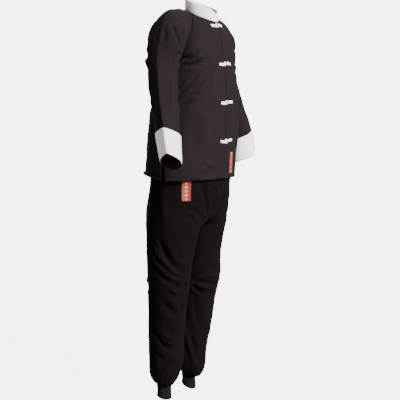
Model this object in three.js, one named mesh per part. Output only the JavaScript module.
// A tai chi uniform, jacket and trousers, in the form it has when worn.
// Millimetres, +Z up. The front faces -Y and the wearer's right is -X.
// z = 0 is near the side of the neck, where the uniform hangs on the shoulders.
import * as THREE from "three";

// Thickness of each cloth, and the gaps left at seams, under frogs and under labels
const CLOTH = 1.6;
const RIB_KNIT = 2.2;
const TRIM = 2.4;
const LABEL = 0.8;
const SEAM = 0.3;
const ARMHOLE_GAP = 0.39;
const ROUND_GAP = 2 * SEAM;
const LABEL_GAP = 3 * SEAM;

// Neck seam: a ring that slopes down to the front
const NECK_RADIUS = 61;
const NECK_CENTRE_Y = -28;
const NECK_FRONT_Z = -34;
const NECK_SLOPE = 0.42;
const COLLAR_HEIGHT = 40;
const COLLAR_CORNER = 10;
const SLEEVE_AT_NECK_FRONT = 102;
const SLEEVE_AT_NECK_BACK = 140;

// Jacket body from the hem to the armpit. square is the power of the superellipse section.
const BODY = [
  { z: -606, halfWidth: 205, halfDepth: 144, centreY: 20, square: 2.3 },
  { z: -465, halfWidth: 200, halfDepth: 143.5, centreY: 11.5, square: 2.4 },
  { z: -400, halfWidth: 196, halfDepth: 139, centreY: 5, square: 2.5 },
  { z: -326, halfWidth: 189, halfDepth: 135, centreY: 1, square: 2.6 },
  { z: -263, halfWidth: 178, halfDepth: 133, centreY: 1, square: 2.6 },
  { z: -235, halfWidth: 171, halfDepth: 132, centreY: 1, square: 2.6 },
  { z: -210, halfWidth: 166, halfDepth: 130, centreY: 1, square: 2.6 },
  { z: -190, halfWidth: 164.5, halfDepth: 128, centreY: 1, square: 2.6 },
  { z: -178, halfWidth: 166, halfDepth: 127, centreY: 1, square: 2.6 },
];
const BODY_HEIGHTS = [0, 0.1, 0.19, 0.24, 0.29, 0.335, 0.4, 0.5, 0.6, 0.7, 0.79, 0.87, 0.93, 0.97];
const ARMPIT_Z = -178;
const HEM_FRONT_Z = -603;
const HEM_SIDE_Z = -606;
const HEM_BACK_Z = -594;

// Sleeve seams from the armpit to the neck, with the centre line of the panel at the same row
const RAGLAN_FRONT = [
  { up: 0, x: 166, y: 1, z: -178, centreY: -126, centreZ: -180, square: 2.6 },
  { up: 1, x: 166, y: -44, z: -162, centreY: -122.5, centreZ: -162, square: 2.6 },
  { up: 2, x: 157, y: -58, z: -128, centreY: -118, centreZ: -138, square: 2.5 },
  { up: 3, x: 137, y: -60, z: -92, centreY: -112.5, centreZ: -112, square: 2.4 },
  { up: 4, x: 112, y: -53, z: -58, centreY: -106, centreZ: -84, square: 2.3 },
  { up: 5, x: 88, y: -40, z: -28, centreY: -97.5, centreZ: -58, square: 2.1 },
  { up: 6, x: 59.7, y: -15.3, z: -3, centreY: -89, centreZ: -34, square: 2 },
];
const RAGLAN_BACK = [
  { up: 0, x: 166, y: 1, z: -178, centreY: 128, centreZ: -178, square: 2.6 },
  { up: 1, x: 167, y: 48, z: -162, centreY: 125, centreZ: -160, square: 2.6 },
  { up: 2, x: 160, y: 68, z: -128, centreY: 119, centreZ: -130, square: 2.5 },
  { up: 3, x: 142, y: 76, z: -92, centreY: 109, centreZ: -98, square: 2.4 },
  { up: 4, x: 116, y: 72, z: -56, centreY: 95, centreZ: -62, square: 2.3 },
  { up: 5, x: 82, y: 50, z: -20, centreY: 70, centreZ: -22, square: 2.1 },
  { up: 6, x: 39.2, y: 18.7, z: 11.2, centreY: 33, centreZ: 17.2, square: 2 },
];
const RAGLAN_STEPS = 10;
const FRONT_COLUMNS = 9;
const BACK_COLUMNS = 16;
const ARMHOLE_CENTRE = [-120, 5, -80];

// Rings round the sleeve head, eight points each, from the top (turn 0) round the front
const HEAD_INNER = [
  { turn: 0, x: 140, y: -6, z: -4 },
  { turn: 1, x: 140, y: -42, z: -30 },
  { turn: 2, x: 158, y: -64, z: -86 },
  { turn: 3, x: 168, y: -54, z: -148 },
  { turn: 4, x: 166.6, y: 1, z: -181 },
  { turn: 5, x: 169, y: 56, z: -148 },
  { turn: 6, x: 162, y: 76, z: -86 },
  { turn: 7, x: 146, y: 40, z: -24 },
];
const HEAD_TIP = [
  { turn: 0, x: 196, y: -8, z: -20 },
  { turn: 1, x: 190, y: -46, z: -56 },
  { turn: 2, x: 184, y: -64, z: -112 },
  { turn: 3, x: 176, y: -50, z: -164 },
  { turn: 4, x: 167.4, y: 1, z: -185 },
  { turn: 5, x: 177, y: 52, z: -164 },
  { turn: 6, x: 190, y: 74, z: -112 },
  { turn: 7, x: 200, y: 42, z: -52 },
];
const HEAD_OUTER = [
  { turn: 0, x: 230, y: -6, z: -72 },
  { turn: 1, x: 222, y: -46, z: -102 },
  { turn: 2, x: 196, y: -63, z: -146 },
  { turn: 3, x: 177, y: -44, z: -180 },
  { turn: 4, x: 168.6, y: 1, z: -191 },
  { turn: 5, x: 180, y: 48, z: -180 },
  { turn: 6, x: 206, y: 70, z: -146 },
  { turn: 7, x: 227, y: 50, z: -98 },
];
// Rings down the arm. long points outward at the azimuth toward, and tilt raises its outer end.
const ARM = [
  { x: 214, y: 4, z: -187, long: 45, short: 60, toward: 80, tilt: 15, crease: 0.12 },
  { x: 244, y: -18, z: -308, long: 51, short: 48, toward: 75, tilt: 18, crease: 0.28 },
  { x: 275, y: -56, z: -445, long: 58, short: 44, toward: 75, tilt: 24, crease: 0.32 },
  { x: 280, y: -72, z: -535, long: 60, short: 40, toward: 75, tilt: 28, crease: 0.3 },
];
const NECK_PART = 0.25;
const SLEEVE_STATIONS = [0, 0.5, 1, 1.5, 2, 2.5, 3, 3.5, 4, 4.35, 4.7, 5.05, 5.5, 6, 6.3, 6.6, 6.9];
const CUFF_STATIONS = [5.97, 6.3, 6.6, 6.96];

// Lap of the right front over the left, below the last frog, and the slit at each side
const LAP_TOP_Z = -480;
const LAP_FULL_Z = -512;
const LIFT_TOP_Z = -462;
const LAP = 27;
const LAP_LIFT = 5;
const SLIT_TOP_Z = -500;
const SLIT_OPENING = 16;

// Frogs: four pairs, each a loop on the right front and a knot on the left
const FROG_HEIGHTS = [-47, -188, -327, -466];
const FROG_REACH = 47;
const FROG_WIDTH = 12;
const FROG_THICKNESS = 4.5;
const FROG_STEP = 6;

// Trousers. outer and inner are the half's edges in x, wrap how far round the section reaches.
const TROUSERS = [
  { z: -425, outer: 165, inner: 0, depth: 115, centreY: 8, wrap: 90 },
  { z: -500, outer: 180, inner: 0, depth: 131, centreY: 12, wrap: 90 },
  { z: -555, outer: 188, inner: 0, depth: 138.8, centreY: 14, wrap: 90 },
  { z: -600, outer: 192, inner: 0, depth: 133, centreY: 16, wrap: 90 },
  { z: -626, outer: 193, inner: 0, depth: 131, centreY: 19, wrap: 90 },
  { z: -660, outer: 195, inner: 0, depth: 130, centreY: 24, wrap: 91 },
  { z: -700, outer: 198, inner: 0, depth: 126, centreY: 29, wrap: 95 },
  { z: -730, outer: 200, inner: 0, depth: 120, centreY: 31, wrap: 105 },
  { z: -752, outer: 200, inner: 0, depth: 112, centreY: 32, wrap: 122 },
  { z: -768, outer: 200, inner: 0, depth: 105, centreY: 33, wrap: 145 },
  { z: -785, outer: 200, inner: 1.5, depth: 99, centreY: 34, wrap: 180 },
  { z: -845, outer: 195, inner: 13, depth: 91, centreY: 40, wrap: 180 },
  { z: -900, outer: 191.5, inner: 22.5, depth: 85, centreY: 44, wrap: 180 },
  { z: -945, outer: 189, inner: 27, depth: 81, centreY: 46, wrap: 180 },
  { z: -990, outer: 187, inner: 31, depth: 78, centreY: 48, wrap: 180 },
  { z: -1035, outer: 181, inner: 31.5, depth: 74.5, centreY: 52.5, wrap: 180 },
  { z: -1080, outer: 174.5, inner: 31.5, depth: 71.5, centreY: 57, wrap: 180 },
  { z: -1130, outer: 168, inner: 30, depth: 69, centreY: 62, wrap: 180 },
  { z: -1180, outer: 162.3, inner: 27.7, depth: 67.5, centreY: 67, wrap: 180 },
  { z: -1220, outer: 157.5, inner: 25, depth: 66, centreY: 70, wrap: 180 },
  { z: -1260, outer: 153.5, inner: 22.5, depth: 65.5, centreY: 72, wrap: 180 },
  { z: -1310, outer: 147.5, inner: 21.5, depth: 63, centreY: 75, wrap: 180 },
  { z: -1345, outer: 141.5, inner: 26, depth: 58, centreY: 78, wrap: 180 },
  { z: -1367, outer: 134, inner: 42, depth: 46, centreY: 80.5, wrap: 180 },
  { z: -1375.7, outer: 116, inner: 63, depth: 26.5, centreY: 81.5, wrap: 180 },
];
const WAIST_TOP_Z = -385;
const WAIST_HALF_WIDTH = 165;
const WAIST_HALF_DEPTH = 115;
const WAIST_CENTRE_Y = 8;
const LEG_COLUMNS = 8;
const CROTCH_Z = -785;
const GATHER_TOP_Z = -1300;
const ANKLE = { x: 89.5, y: 81.5, radius: 28, top: -1376, bottom: -1425 };

// The largest folds, as lines on a tube: turn is degrees round its axis from the front,
// towards the wearer's left; height is out of the cloth, and negative is a valley.
const BODY_FOLDS = [
  { height: -7, width: 13, path: [{ turn: -72, z: -186 }, { turn: -54, z: -143 }] },
  { height: -6, width: 14, path: [{ turn: -82, z: -300 }, { turn: -52, z: -219 }] },
  { height: 5, width: 15, path: [{ turn: -80, z: -262 }, { turn: -56, z: -190 }] },
  { height: -5, width: 16, path: [{ turn: -35, z: -197 }, { turn: -46, z: -276 }] },
  { height: -6, width: 13, path: [{ turn: 70, z: -192 }, { turn: 52, z: -146 }] },
  { height: -6, width: 15, path: [{ turn: 80, z: -310 }, { turn: 50, z: -226 }] },
  { height: 4, width: 16, path: [{ turn: 76, z: -270 }, { turn: 55, z: -200 }] },
  { height: -7, width: 15, path: [{ turn: -110, z: -190 }, { turn: -130, z: -150 }] },
  { height: -6, width: 16, path: [{ turn: 108, z: -196 }, { turn: 132, z: -158 }] },
  { height: -5, width: 18, path: [{ turn: -100, z: -330 }, { turn: -140, z: -250 }] },
  { height: -5, width: 18, path: [{ turn: 102, z: -350 }, { turn: 138, z: -262 }] },
  { height: 4, width: 20, path: [{ turn: 172, z: -540 }, { turn: 165, z: -330 }] },
];
const SLEEVE_FOLDS_RIGHT = [
  { height: -5, width: 12, path: [{ turn: 30, z: -200 }, { turn: -60, z: -244 }] },
  { height: 3, width: 12, path: [{ turn: 40, z: -226 }, { turn: -40, z: -268 }] },
  { height: -5, width: 13, path: [{ turn: 60, z: -330 }, { turn: 0, z: -346 }] },
  { height: -5, width: 14, path: [{ turn: 150, z: -210 }, { turn: -130, z: -262 }] },
];
const SLEEVE_FOLDS_LEFT = [
  { height: -5, width: 12, path: [{ turn: -34, z: -206 }, { turn: 52, z: -250 }] },
  { height: 3, width: 12, path: [{ turn: -30, z: -232 }, { turn: 44, z: -276 }] },
  { height: -5, width: 13, path: [{ turn: -60, z: -338 }, { turn: -4, z: -350 }] },
  { height: -5, width: 14, path: [{ turn: -150, z: -216 }, { turn: 132, z: -270 }] },
];
const LEG_FOLDS_RIGHT = [
  {
    height: -7,
    width: 12,
    path: [{ turn: -84, z: -884 }, { turn: -40, z: -932 }, { turn: -4, z: -950 }],
  },
  {
    height: 6,
    width: 15,
    path: [
      { turn: -130, z: -795 },
      { turn: -111, z: -886 },
      { turn: -84, z: -934 },
      { turn: -56, z: -967 },
      { turn: -28, z: -976 },
      { turn: -2, z: -968 },
    ],
  },
  { height: -5, width: 14, path: [{ turn: -90, z: -972 }, { turn: -10, z: -1004 }] },
  {
    height: 5,
    width: 12,
    path: [
      { turn: -91, z: -1174 },
      { turn: -74, z: -1204 },
      { turn: -41, z: -1219 },
      { turn: -11, z: -1196 },
      { turn: -1, z: -1130 },
    ],
  },
  { height: -5, width: 12, path: [{ turn: -110, z: -1180 }, { turn: -70, z: -1234 }] },
  { height: -5, width: 15, path: [{ turn: 130, z: -990 }, { turn: -130, z: -1010 }] },
  { height: 4, width: 15, path: [{ turn: 150, z: -1200 }, { turn: -150, z: -1180 }] },
];
const LEG_FOLDS_LEFT = [
  { height: -6, width: 13, path: [{ turn: -20, z: -960 }, { turn: 50, z: -925 }] },
  {
    height: 5,
    width: 15,
    path: [{ turn: -30, z: -995 }, { turn: 30, z: -985 }, { turn: 84, z: -930 }],
  },
  { height: -5, width: 14, path: [{ turn: -60, z: -985 }, { turn: -30, z: -1040 }] },
  {
    height: 5,
    width: 12,
    path: [{ turn: 0, z: -1150 }, { turn: 36, z: -1212 }, { turn: 88, z: -1190 }],
  },
  { height: -5, width: 15, path: [{ turn: 132, z: -1000 }, { turn: -132, z: -985 }] },
  { height: 4, width: 15, path: [{ turn: 150, z: -1188 }, { turn: -152, z: -1206 }] },
];
const HIP_FOLDS = [
  { height: -6, width: 10, path: [{ turn: -24, z: -606 }, { turn: -12, z: -700 }] },
  { height: -6, width: 10, path: [{ turn: 14, z: -606 }, { turn: 8, z: -720 }] },
  { height: 5, width: 13, path: [{ turn: -4, z: -606 }, { turn: -4, z: -715 }] },
  { height: -5, width: 14, path: [{ turn: -100, z: -606 }, { turn: -116, z: -760 }] },
  { height: -5, width: 14, path: [{ turn: 100, z: -606 }, { turn: 118, z: -750 }] },
  { height: -5, width: 14, path: [{ turn: 160, z: -640 }, { turn: 172, z: -740 }] },
];

// Labels: a woven patch on the left front and one on the right hip
const FRONT_LABEL = { fromX: 31, toX: 70, topZ: -506, bottomZ: -586 };
const HIP_LABEL = { fromTurn: -68, toTurn: -57.5, topZ: -609, bottomZ: -684 };

const black = new THREE.MeshStandardMaterial({ color: 0x1b181a, roughness: 0.85 });
const rib = new THREE.MeshStandardMaterial({ color: 0x1f1e19, roughness: 0.9 });
const white = new THREE.MeshStandardMaterial({ color: 0xe6dfe2, roughness: 0.8 });
const red = new THREE.MeshStandardMaterial({ color: 0xc02a26, roughness: 0.6 });

const radians = THREE.MathUtils.degToRad;
const mix = (a, b, f) => a + (b - a) * f;
const add = (p, q, k = 1) => [p[0] + q[0] * k, p[1] + q[1] * k, p[2] + q[2] * k];
const minus = (p, q) => add(p, q, -1);
const cross = (a, b) => [
  a[1] * b[2] - a[2] * b[1],
  a[2] * b[0] - a[0] * b[2],
  a[0] * b[1] - a[1] * b[0],
];
const size = (p) => Math.hypot(p[0], p[1], p[2]);
const unit = (p) => add([0, 0, 0], p, 1 / size(p));
const mirror = (p, side) => [p[0] * -side, p[1], p[2]];
const smooth = (f) => {
  const t = Math.min(1, Math.max(0, f));
  return t * t * (3 - 2 * t);
};
const range = (count) => Array.from({ length: count + 1 }, (_, k) => k / count);

// A column of a table at a place between its rows, by a cubic through the rows.
function sample(table, key, at, column) {
  const rising = table[table.length - 1][key] > table[0][key];
  let k = 0;
  while (k < table.length - 2 && (rising ? at > table[k + 1][key] : at < table[k + 1][key])) {
    k += 1;
  }
  const span = table[k + 1][key] - table[k][key];
  const f = (at - table[k][key]) / span;
  const slope = (i) => {
    const before = table[Math.max(0, i - 1)];
    const after = table[Math.min(table.length - 1, i + 1)];
    return ((after[column] - before[column]) / (after[key] - before[key])) * span;
  };
  const a = table[k][column];
  const b = table[k + 1][column];
  const g = f * f * (3 - 2 * f);
  return mix(a, b, g) + slope(k) * f * (1 - f) ** 2 - slope(k + 1) * f * f * (1 - f);
}

// A point on a centripetal curve through knots, at a station counted in knots.
function through(knots, station) {
  const last = knots.length - 1;
  const k = Math.min(last - 1, Math.floor(station));
  const f = station - k;
  const p1 = knots[k];
  const p2 = knots[k + 1];
  const p0 = k > 0 ? knots[k - 1] : minus(add(p1, p1), p2);
  const p3 = k + 2 <= last ? knots[k + 2] : minus(add(p2, p2), p1);
  const d1 = Math.sqrt(size(minus(p1, p0))) + 1e-6;
  const d2 = Math.sqrt(size(minus(p2, p1))) + 1e-6;
  const d3 = Math.sqrt(size(minus(p3, p2))) + 1e-6;
  return p1.map((_, axis) => {
    const [a, b, c, d] = [p0[axis], p1[axis], p2[axis], p3[axis]];
    const m1 = ((b - a) / d1 - (c - a) / (d1 + d2) + (c - b) / d2) * d2;
    const m2 = ((c - b) / d2 - (d - b) / (d2 + d3) + (d - c) / d3) * d2;
    const g = f * f * (3 - 2 * f);
    return mix(b, c, g) + m1 * f * (1 - f) ** 2 - m2 * f * f * (1 - f);
  });
}

// Height of the folds at a place on a tube: turn in degrees, z and the tube's radius in mm.
function relief(folds, turn, z, radius) {
  const mmPerDegree = radians(radius);
  let height = 0;
  for (const fold of folds) {
    let nearest = Infinity;
    for (let k = 1; k < fold.path.length; k += 1) {
      const a = fold.path[k - 1];
      const b = fold.path[k];
      const spanTurn = ((b.turn - a.turn + 540) % 360) - 180;
      const offTurn = ((turn - a.turn + 540) % 360) - 180;
      const dx = spanTurn * mmPerDegree;
      const dz = b.z - a.z;
      const px = offTurn * mmPerDegree;
      const pz = z - a.z;
      const f = Math.min(1, Math.max(0, (px * dx + pz * dz) / (dx * dx + dz * dz)));
      nearest = Math.min(nearest, Math.hypot(px - f * dx, pz - f * dz));
    }
    height += fold.height * Math.exp(-((nearest / fold.width) ** 2));
  }
  return height;
}

// A cloth wall through a grid of points. Its outer face passes through them, moved by the folds.
// sides and ends say what each open edge meets: "y" or "x" for a seam in a plane across that
// axis, or a function that gives the direction into the garment. join edges keep half the seam gap.
function wall(name, material, thickness, spec) {
  const { columns, rows, point, closed = false, facing = 1, edges = {}, join = [] } = spec;
  const { folds = [], axis, fade = () => 1, armhole } = spec;
  const wide = columns.length;
  const high = rows.length;
  const grid = rows.map((r) => columns.map((c) => point(c, r)));
  const normalsOf = (p) =>
    p.map((line, j) =>
      line.map((_, i) => {
        const left = closed ? (i + wide - 1) % wide : Math.max(0, i - 1);
        const right = closed ? (i + 1) % wide : Math.min(wide - 1, i + 1);
        const across = minus(line[right], line[left]);
        const up = minus(p[Math.min(high - 1, j + 1)][i], p[Math.max(0, j - 1)][i]);
        let n = add([0, 0, 0], cross(across, up), facing);
        const met = [];
        if (!closed && i === 0) met.push(edges.first);
        if (!closed && i === wide - 1) met.push(edges.last);
        if (j === 0) met.push(edges.low);
        if (j === high - 1) met.push(edges.high);
        let inward = [0, 0, 0];
        for (const edge of met) {
          const kind = typeof edge === "function" ? edge(line[i], i, j) : edge;
          if (kind === "y") n = [n[0], 0, n[2]];
          else if (kind === "x") n = [0, n[1], n[2]];
          else if (kind) inward = add(inward, kind);
        }
        return size(inward) > 0 ? add([0, 0, 0], unit(inward), -1) : unit(n);
      }),
    );
  let normals = normalsOf(grid);
  if (folds.length) {
    grid.forEach((line, j) =>
      line.forEach((p, i) => {
        const [cx, cy] = axis(p);
        const turn = THREE.MathUtils.radToDeg(Math.atan2(p[0] - cx, cy - p[1]));
        const radius = Math.hypot(p[0] - cx, p[1] - cy);
        const height = relief(folds, turn, p[2], radius) * fade(columns[i], rows[j]);
        line[i] = add(p, normals[j][i], height);
      }),
    );
    normals = normalsOf(grid);
  }
  const outer = grid.map((line) => line.map((p) => [...p]));
  const shift = (edge, j, i, toJ, toI) => {
    if (!join.includes(edge) || (armhole && armhole.only(i, j))) return;
    outer[j][i] = add(outer[j][i], unit(minus(grid[toJ][toI], grid[j][i])), SEAM / 2);
  };
  for (let i = 0; i < wide; i += 1) {
    shift("low", 0, i, 1, i);
    shift("high", high - 1, i, high - 2, i);
  }
  for (let j = 0; j < high; j += 1) {
    shift("first", j, 0, j, 1);
    shift("last", j, wide - 1, j, wide - 2);
    for (let i = 0; i < wide; i += 1) {
      if (armhole && armhole.touches(i, j)) {
        outer[j][i] = add(outer[j][i], besideArmhole(grid[j][i]), armhole.away * ARMHOLE_GAP);
      }
    }
  }
  const inner = outer.map((line, j) => line.map((p, i) => add(p, normals[j][i], -thickness)));
  const mesh = shell(name, material, outer, inner, closed, facing);
  mesh.userData = { outer, normals };
  return mesh;
}

// A closed body between two grids of points that face each other.
function shell(name, material, outer, inner, closed, facing) {
  const high = outer.length;
  const wide = outer[0].length;
  const positions = [...outer.flat(2), ...inner.flat(2)];
  const at = (layer, j, i) => layer * high * wide + j * wide + (i % wide);
  const index = [];
  const quad = (a, b, c, d) => {
    if (facing > 0) index.push(a, b, c, a, c, d);
    else index.push(a, c, b, a, d, c);
  };
  const spans = closed ? wide : wide - 1;
  for (let j = 0; j + 1 < high; j += 1) {
    for (let i = 0; i < spans; i += 1) {
      quad(at(0, j, i), at(0, j, i + 1), at(0, j + 1, i + 1), at(0, j + 1, i));
      quad(at(1, j, i), at(1, j + 1, i), at(1, j + 1, i + 1), at(1, j, i + 1));
    }
    if (!closed) {
      quad(at(1, j, 0), at(0, j, 0), at(0, j + 1, 0), at(1, j + 1, 0));
      quad(at(0, j, spans), at(1, j, spans), at(1, j + 1, spans), at(0, j + 1, spans));
    }
  }
  for (let i = 0; i < spans; i += 1) {
    quad(at(1, 0, i), at(1, 0, i + 1), at(0, 0, i + 1), at(0, 0, i));
    quad(at(0, high - 1, i), at(0, high - 1, i + 1), at(1, high - 1, i + 1), at(1, high - 1, i));
  }
  const geometry = new THREE.BufferGeometry();
  geometry.setAttribute("position", new THREE.Float32BufferAttribute(positions, 3));
  geometry.setIndex(index);
  geometry.computeVertexNormals();
  const mesh = new THREE.Mesh(geometry, material);
  mesh.name = name;
  return mesh;
}

// The sleeve's side of the armhole seam at a place on it.
function besideArmhole(p) {
  const inward = intoArmhole(p);
  const lateral = [Math.sign(p[0]), 0, 0];
  return unit(add(lateral, inward, -(lateral[0] * inward[0])));
}

// A place on a wall's outer face, between its grid points, lifted off it.
function onWall(mesh, column, row, lift) {
  const { outer, normals } = mesh.userData;
  const i = Math.min(outer[0].length - 2, Math.max(0, Math.floor(column)));
  const j = Math.min(outer.length - 2, Math.max(0, Math.floor(row)));
  const blend = (grid) =>
    [0, 1, 2].map((axis) =>
      mix(
        mix(grid[j][i][axis], grid[j][i + 1][axis], column - i),
        mix(grid[j + 1][i][axis], grid[j + 1][i + 1][axis], column - i),
        row - j,
      ),
    );
  const normal = unit(blend(normals));
  return { place: add(blend(outer), normal, lift), normal };
}

// The grid place of a wall that has a given height, and a given value of measure along its row.
function findOnWall(mesh, measure, wanted, z) {
  const { outer } = mesh.userData;
  let row = 0;
  while (row < outer.length - 2 && outer[row + 1][0][2] < z) row += 1;
  let column = 0;
  for (let pass = 0; pass < 3; pass += 1) {
    const whole = Math.min(outer.length - 2, Math.floor(row));
    const values = outer[whole].map((p, i) => {
      const q = outer[whole + 1][i];
      return measure([0, 1, 2].map((axis) => mix(p[axis], q[axis], row - whole)));
    });
    let i = 0;
    while (i < values.length - 2 && (values[i + 1] - wanted) * (values[0] - wanted) > 0) i += 1;
    column = i + (wanted - values[i]) / (values[i + 1] - values[i]);
    const heights = outer.map((line) => mix(line[i][2], line[i + 1][2], column - i));
    let j = 0;
    while (j < heights.length - 2 && heights[j + 1] < z) j += 1;
    row = j + (z - heights[j]) / (heights[j + 1] - heights[j]);
  }
  return { column, row };
}

const neckPoint = (turn, lift = 0) => {
  const angle = radians(turn);
  const y = NECK_CENTRE_Y - NECK_RADIUS * Math.cos(angle);
  const z = NECK_FRONT_Z + (y - NECK_CENTRE_Y + NECK_RADIUS) * NECK_SLOPE;
  return [-NECK_RADIUS * Math.sin(angle), y, z + lift];
};
const intoNeck = (p) =>
  unit(add(unit([-p[0], NECK_CENTRE_Y - p[1], 0]), [0, 0, -1], 0.6));
const intoArmhole = (p) => unit(minus(mirror(ARMHOLE_CENTRE, p[0] < 0 ? -1 : 1), p));

// The seam between a panel and the sleeve, up = 0 at the armpit and 1 at the neck.
function raglan(table, up) {
  const at = up * (table.length - 1);
  return Object.fromEntries(
    ["x", "y", "z", "centreY", "centreZ", "square"].map((key) => [
      key,
      sample(table, "up", at, key),
    ]),
  );
}

// A row of the jacket above the armpit: v = 1 at the seam, 0 at the centre line.
function yokeRow(table, v, up, neckTurn) {
  const shape = (row) => {
    const angle = (v * Math.PI) / 2;
    const power = 2 / row.square;
    const rise = 1 - Math.cos(angle);
    return [
      -row.x * Math.sin(angle) ** power,
      mix(row.centreY, row.y, 1 - Math.cos(angle) ** power),
      mix(row.centreZ, row.z, rise),
    ];
  };
  const off = minus(neckPoint(neckTurn), shape(raglan(table, 1)));
  return add(shape(raglan(table, up)), off, smooth((up - 0.5) / 0.5));
}

// A row of the jacket below the armpit: v = 1 at the side seam, 0 at the centre line.
function bodyRow(half, v, share) {
  const angle = (v * Math.PI) / 2;
  const hem = mix(half > 0 ? HEM_FRONT_Z : HEM_BACK_Z, HEM_SIDE_Z, v * v);
  const table = half > 0 ? RAGLAN_FRONT : RAGLAN_BACK;
  const z = mix(hem, mix(table[0].centreZ, ARMPIT_Z, v), share);
  const [a, b, cy, square] = ["halfWidth", "halfDepth", "centreY", "square"].map((column) =>
    sample(BODY, "z", z, column),
  );
  const power = 2 / square;
  return [-a * Math.sin(angle) ** power, cy - half * b * Math.cos(angle) ** power, z];
}

const jacketRows = [
  ...BODY_HEIGHTS.map((share) => ({ share })),
  ...range(RAGLAN_STEPS).map((up) => ({ up })),
];
const isYoke = (row) => row.up !== undefined;
const bodyAxis = (p) => [0, sample(BODY, "z", Math.min(ARMPIT_Z, p[2]), "centreY")];
const yokeFade = (edge, row) => (isYoke(row) ? 1 - smooth(row.up / 0.5 - 0.1) : 1) * edge;

function jacketFront(side) {
  const name = side < 0 ? "jacket_front_right" : "jacket_front_left";
  const point = (v, row) => {
    if (isYoke(row)) {
      return mirror(yokeRow(RAGLAN_FRONT, v, row.up, SLEEVE_AT_NECK_FRONT * v), side);
    }
    const p = bodyRow(1, v, row.share);
    const open = Math.max(0, (SLIT_TOP_Z - p[2]) / (SLIT_TOP_Z - HEM_SIDE_Z));
    const slit = SLIT_OPENING * smooth(v * 4 - 3) * open;
    const near = side < 0 ? smooth(1 - v * 2.5) : 0;
    const lap = near * smooth((LAP_TOP_Z - p[2]) / (LAP_TOP_Z - LAP_FULL_Z));
    const lift = near * smooth((LIFT_TOP_Z - p[2]) / (LIFT_TOP_Z - LAP_TOP_Z));
    return mirror([p[0] + LAP * lap, p[1] - slit - LAP_LIFT * lift, p[2]], side);
  };
  return wall(name, black, CLOTH, {
    columns: range(FRONT_COLUMNS).map((f) => 1 - f),
    rows: jacketRows,
    point,
    facing: -side,
    edges: {
      first: (p, i, j) => (isYoke(jacketRows[j]) ? intoArmhole(p) : "y"),
      high: intoNeck,
    },
    join: ["first", "last", "high"],
    armhole: {
      away: -1,
      touches: (i, j) => i === 0 && isYoke(jacketRows[j]),
      only: (i, j) => i === 0 && jacketRows[j].up > 0 && jacketRows[j].up < 1,
    },
    folds: BODY_FOLDS,
    axis: bodyAxis,
    fade: (v, row) => yokeFade(isYoke(row) ? smooth((1 - v) * 4) : 1, row) * smooth(v * 5),
  });
}

function jacketBack() {
  const point = (v, row) => {
    const side = v < 0 ? 1 : -1;
    const reach = Math.abs(v);
    if (isYoke(row)) {
      const turn = mix(180, SLEEVE_AT_NECK_BACK, reach);
      return mirror(yokeRow(RAGLAN_BACK, reach, row.up, turn), side);
    }
    return mirror(bodyRow(-1, reach, row.share), side);
  };
  const edge = (p, i, j) => (isYoke(jacketRows[j]) ? intoArmhole(p) : "y");
  return wall("jacket_back", black, CLOTH, {
    columns: range(BACK_COLUMNS).map((f) => 1 - 2 * f),
    rows: jacketRows,
    point,
    facing: -1,
    edges: { first: edge, last: edge, high: intoNeck },
    join: ["first", "last", "high"],
    armhole: {
      away: -1,
      touches: (i, j) => i % BACK_COLUMNS === 0 && isYoke(jacketRows[j]),
      only: (i, j) => i % BACK_COLUMNS === 0 && jacketRows[j].up > 0 && jacketRows[j].up < 1,
    },
    folds: BODY_FOLDS,
    axis: bodyAxis,
    fade: (v, row) => yokeFade(isYoke(row) ? smooth((1 - Math.abs(v)) * 4) : 1, row),
  });
}

// Directions round the right sleeve: 0 is the top or outside, a quarter turn is the front.
const FULL = 2 * Math.PI;
const sleeveTurns = [
  ...range(2).map((f) => mix(-NECK_PART, NECK_PART, f)),
  ...range(RAGLAN_STEPS).slice(1).map((f) => mix(NECK_PART, Math.PI, f)),
  ...range(RAGLAN_STEPS).slice(1, -1).map((f) => mix(Math.PI, FULL - NECK_PART, f)),
];

// The sleeve's top edge, which is the seam loop from the neck round the armpit.
function seamLoop(turn) {
  if (turn <= NECK_PART) {
    const f = (turn + NECK_PART) / (2 * NECK_PART);
    return neckPoint(mix(SLEEVE_AT_NECK_BACK, SLEEVE_AT_NECK_FRONT, f));
  }
  const front = turn <= Math.PI + 1e-9;
  const up = Math.abs(Math.PI - turn) / (Math.PI - NECK_PART);
  return front
    ? yokeRow(RAGLAN_FRONT, 1, up, SLEEVE_AT_NECK_FRONT)
    : yokeRow(RAGLAN_BACK, 1, up, SLEEVE_AT_NECK_BACK);
}

// A ring of the sleeve head, by a closed cubic through its eight points.
function headRing(ring, turn) {
  const at = ((turn / FULL) * ring.length + ring.length) % ring.length;
  const k = Math.floor(at);
  const f = at - k;
  return ["x", "y", "z"].map((axis) => {
    const [a, b, c, d] = [-1, 0, 1, 2].map((step) => {
      return ring[(k + step + ring.length) % ring.length][axis] * (axis === "x" ? -1 : 1);
    });
    const g = f * f * (3 - 2 * f);
    return mix(b, c, g) + ((c - a) / 2) * f * (1 - f) ** 2 - ((d - b) / 2) * f * f * (1 - f);
  });
}

function armRing(ring, turn) {
  const sharp = Math.abs(Math.sin(turn)) * ((1 + Math.cos(turn)) / 2) ** 2;
  const along = ring.long * (Math.cos(turn) - ring.crease * sharp);
  const aside = ring.short * Math.sin(turn);
  const toward = radians(ring.toward);
  const tilt = radians(ring.tilt);
  return [
    -ring.x - along * Math.sin(toward) * Math.cos(tilt) + aside * Math.cos(toward),
    ring.y - along * Math.cos(toward) * Math.cos(tilt) - aside * Math.sin(toward),
    ring.z + along * Math.sin(tilt),
  ];
}

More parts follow.
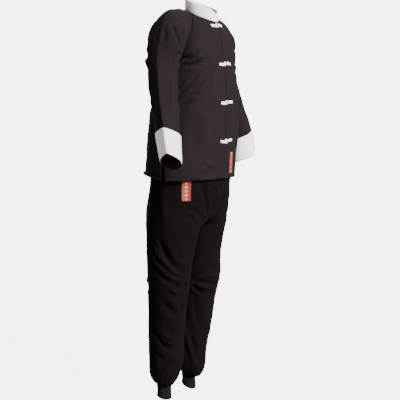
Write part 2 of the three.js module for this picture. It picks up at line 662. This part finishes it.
function sleevePoint(turn, station) {
  const knots = [
    seamLoop(turn),
    headRing(HEAD_INNER, turn),
    headRing(HEAD_TIP, turn),
    headRing(HEAD_OUTER, turn),
    ...ARM.map((ring) => armRing(ring, turn)),
  ];
  return through(knots, station);
}

// The sleeve's direction into the garment at its top edge.
function intoSleeveTop(p, column) {
  if (column === 0 || column === 2) return add(intoNeck(p), intoArmhole(p));
  return column === 1 ? intoNeck(p) : intoArmhole(p);
}

function armAxis(side) {
  const line = [{ x: 200, y: 4, z: -100 }, ...ARM];
  return (p) => {
    const z = Math.max(-535, Math.min(-100, p[2]));
    return [side * sample(line, "z", z, "x"), sample(line, "z", z, "y")];
  };
}

function sleeve(side) {
  return wall(side < 0 ? "sleeve_right" : "sleeve_left", black, CLOTH, {
    columns: sleeveTurns,
    rows: SLEEVE_STATIONS,
    point: (turn, station) => mirror(sleevePoint(turn, station), side),
    closed: true,
    facing: side < 0 ? -1 : 1,
    edges: { low: intoSleeveTop },
    join: ["low"],
    armhole: {
      away: 1,
      touches: (i, j) => j === 0 && i !== 1,
      only: (i) => i > 2,
    },
    folds: side < 0 ? SLEEVE_FOLDS_RIGHT : SLEEVE_FOLDS_LEFT,
    axis: armAxis(side),
    fade: (turn, station) => smooth((station - 3) / 1.2) * smooth((5.9 - station) / 0.5),
  });
}

// The turned-back cuff: a band made from the sleeve's own points, moved out.
function cuff(side) {
  const lift = SEAM + TRIM;
  const point = (turn, station) => {
    const p = sleevePoint(turn, station);
    const around = minus(sleevePoint(turn + 0.1, station), sleevePoint(turn - 0.1, station));
    const down = minus(sleevePoint(turn, station + 0.02), sleevePoint(turn, station - 0.02));
    return mirror(add(p, unit(cross(down, around)), lift), side);
  };
  return wall(side < 0 ? "cuff_right" : "cuff_left", white, TRIM, {
    columns: sleeveTurns,
    rows: CUFF_STATIONS,
    point,
    closed: true,
    facing: side < 0 ? -1 : 1,
  });
}

// The collar stands on the neck seam and stops at the centre front, with rounded corners.
function collar() {
  const turns = [
    ...range(9).map((f) => SLEEVE_AT_NECK_FRONT * f),
    ...range(2).slice(1).map((f) => mix(SLEEVE_AT_NECK_FRONT, SLEEVE_AT_NECK_BACK, f)),
    ...range(8).slice(1).map((f) => mix(SLEEVE_AT_NECK_BACK, 180, f)),
  ];
  const allTurns = [...turns, ...turns.slice(0, -1).reverse().map((turn) => 360 - turn)];
  return wall("collar", white, TRIM, {
    columns: allTurns,
    rows: range(2),
    point: (turn, share) => {
      const fromFront = Math.min(turn, 360 - turn) / COLLAR_CORNER;
      const corner = 12 * Math.max(0, 1 - fromFront) ** 2;
      return neckPoint(turn, share * (COLLAR_HEIGHT - corner));
    },
    facing: -1,
    edges: { first: "x", last: "x", low: intoNeck },
    join: ["first", "last", "low"],
  });
}

function trouserPoint(side, half, s, z) {
  const [outer, inner, depth, cy, wrap] = ["outer", "inner", "depth", "centreY", "wrap"].map(
    (column) => sample(TROUSERS, "z", z, column),
  );
  const angle = radians(wrap);
  const reach = (1 - Math.cos(angle * s)) / (1 - Math.cos(angle));
  return [side * mix(outer, Math.max(0, inner), reach), cy - half * depth * Math.sin(angle * s), z];
}

const legAxis = (side) => (p) => {
  const z = p[2];
  if (z > CROTCH_Z) return [0, sample(TROUSERS, "z", z, "centreY")];
  const x = (sample(TROUSERS, "z", z, "outer") + sample(TROUSERS, "z", z, "inner")) / 2;
  return [side * x, sample(TROUSERS, "z", z, "centreY")];
};

// Folds die out at the jacket's hem, at the crotch and at the gathers above the ankle.
function legFade(z) {
  if (z < GATHER_TOP_Z) return 0;
  if (z <= CROTCH_Z) return smooth((CROTCH_Z - z) / 50);
  return smooth((HEM_FRONT_Z + 3 - z) / 8) * smooth((z - CROTCH_Z + 5) / 40);
}

function trouserPanel(side, half) {
  const name = `trouser_${half > 0 ? "front" : "back"}_${side < 0 ? "right" : "left"}`;
  const heights = TROUSERS.map((row) => row.z).reverse();
  const legFolds = side < 0 ? LEG_FOLDS_RIGHT : LEG_FOLDS_LEFT;
  return wall(name, black, CLOTH, {
    columns: range(LEG_COLUMNS),
    rows: heights,
    point: (s, z) => trouserPoint(side, half, s, z),
    facing: -side * half,
    edges: {
      first: "y",
      last: (p, i, j) => (heights[j] > CROTCH_Z ? "x" : "y"),
    },
    join: ["first", "last", "high"],
    folds: [...HIP_FOLDS, ...legFolds],
    axis: legAxis(side),
    fade: (s, z) => legFade(z),
  });
}

function waistband() {
  const quarter = range(8).slice(0, -1);
  const turns = [0, 1, 2, 3].flatMap((k) => quarter.map((f) => (k + f) * 90));
  return wall("waistband", black, RIB_KNIT, {
    columns: turns,
    rows: [TROUSERS[0].z, WAIST_TOP_Z],
    point: (turn, z) => [
      -WAIST_HALF_WIDTH * Math.sin(radians(turn)),
      WAIST_CENTRE_Y - WAIST_HALF_DEPTH * Math.cos(radians(turn)),
      z,
    ],
    closed: true,
    facing: -1,
    join: ["low"],
  });
}

function ribCuff(side) {
  const turns = range(20).slice(0, -1).map((f) => f * 360);
  const swell = [0, -1, -0.8, 0.6];
  return wall(side < 0 ? "rib_cuff_right" : "rib_cuff_left", rib, RIB_KNIT, {
    columns: turns,
    rows: swell.map((_, k) => k),
    point: (turn, k) => {
      const radius = ANKLE.radius + swell[k];
      return [
        side * ANKLE.x - radius * Math.sin(radians(turn)),
        ANKLE.y - radius * Math.cos(radians(turn)),
        mix(ANKLE.top, ANKLE.bottom, k / (swell.length - 1)),
      ];
    },
    closed: true,
    facing: 1,
  });
}

// A padded cord that lies on a wall along a path of places, with a rounded closed section.
function bead(name, path, width, thickness) {
  const sides = 6;
  const rings = path.map(({ place, normal }, k) => {
    const before = path[Math.max(0, k - 1)].place;
    const after = path[Math.min(path.length - 1, k + 1)].place;
    const ahead = unit(minus(after, before));
    const aside = unit(cross(normal, ahead));
    const end = k === 0 || k === path.length - 1 ? 0.45 : 1;
    return range(sides).slice(0, -1).map((f) => {
      const angle = f * FULL;
      const out = (Math.sin(angle) + 1) * (thickness / 2) * mix(1, end, 0.5);
      return add(add(place, aside, Math.cos(angle) * (width / 2) * end), normal, out);
    });
  });
  const positions = rings.flat(2);
  const index = [];
  for (let k = 0; k + 1 < rings.length; k += 1) {
    for (let i = 0; i < sides; i += 1) {
      const [a, b] = [k * sides + i, k * sides + ((i + 1) % sides)];
      index.push(a, b + sides, a + sides, a, b, b + sides);
    }
  }
  const last = (rings.length - 1) * sides;
  for (let i = 1; i + 1 < sides; i += 1) {
    index.push(0, i + 1, i, last, last + i, last + i + 1);
  }
  const geometry = new THREE.BufferGeometry();
  geometry.setAttribute("position", new THREE.Float32BufferAttribute(positions, 3));
  geometry.setIndex(index);
  geometry.computeVertexNormals();
  const mesh = new THREE.Mesh(geometry, white);
  mesh.name = name;
  return mesh;
}

const frontRight = jacketFront(-1);
const frontLeft = jacketFront(1);

// Half a frog: a flat bar, and the loop or knot that meets its partner at the centre front.
function frog(number, side) {
  const panel = side < 0 ? frontRight : frontLeft;
  const z = FROG_HEIGHTS[number] + (side < 0 ? -FROG_STEP / 2 : FROG_STEP / 2);
  const stops = [1.6, 7, 13, 22, 34, FROG_REACH];
  const path = stops.map((x) => {
    const { column, row } = findOnWall(panel, (p) => p[0], side * x, z);
    return onWall(panel, column, row, ROUND_GAP);
  });
  const kind = side < 0 ? "frog_loop" : "frog_knot";
  return bead(`${kind}_${number + 1}`, side < 0 ? path.reverse() : path, FROG_WIDTH, FROG_THICKNESS);
}

// A thin patch on a wall, between two values of measure and two heights.
function patch(name, panel, measure, from, to, bottomZ, topZ) {
  const columns = range(4);
  const rows = range(5);
  const spot = (c, r, lift) => {
    const { column, row } = findOnWall(panel, measure, mix(from, to, c), mix(bottomZ, topZ, r));
    return onWall(panel, column, row, lift).place;
  };
  const outer = rows.map((r) => columns.map((c) => spot(c, r, LABEL_GAP + LABEL)));
  const inner = rows.map((r) => columns.map((c) => spot(c, r, LABEL_GAP)));
  return shell(name, red, outer, inner, false, 1);
}

const hipRight = trouserPanel(-1, 1);
const hipCentreY = sample(TROUSERS, "z", (HIP_LABEL.topZ + HIP_LABEL.bottomZ) / 2, "centreY");
const hipTurn = (p) => THREE.MathUtils.radToDeg(Math.atan2(p[0], hipCentreY - p[1]));

const uniform = new THREE.Group();
uniform.name = "tai_chi_uniform";
uniform.add(
  frontRight,
  frontLeft,
  jacketBack(),
  sleeve(-1),
  sleeve(1),
  cuff(-1),
  cuff(1),
  collar(),
  ...FROG_HEIGHTS.flatMap((_, number) => [frog(number, -1), frog(number, 1)]),
  patch(
    "jacket_label",
    frontLeft,
    (p) => p[0],
    FRONT_LABEL.fromX,
    FRONT_LABEL.toX,
    FRONT_LABEL.bottomZ,
    FRONT_LABEL.topZ,
  ),
  hipRight,
  trouserPanel(1, 1),
  trouserPanel(-1, -1),
  trouserPanel(1, -1),
  waistband(),
  ribCuff(-1),
  ribCuff(1),
  patch(
    "trouser_label",
    hipRight,
    hipTurn,
    HIP_LABEL.fromTurn,
    HIP_LABEL.toTurn,
    HIP_LABEL.bottomZ,
    HIP_LABEL.topZ,
  ),
);

export default uniform;
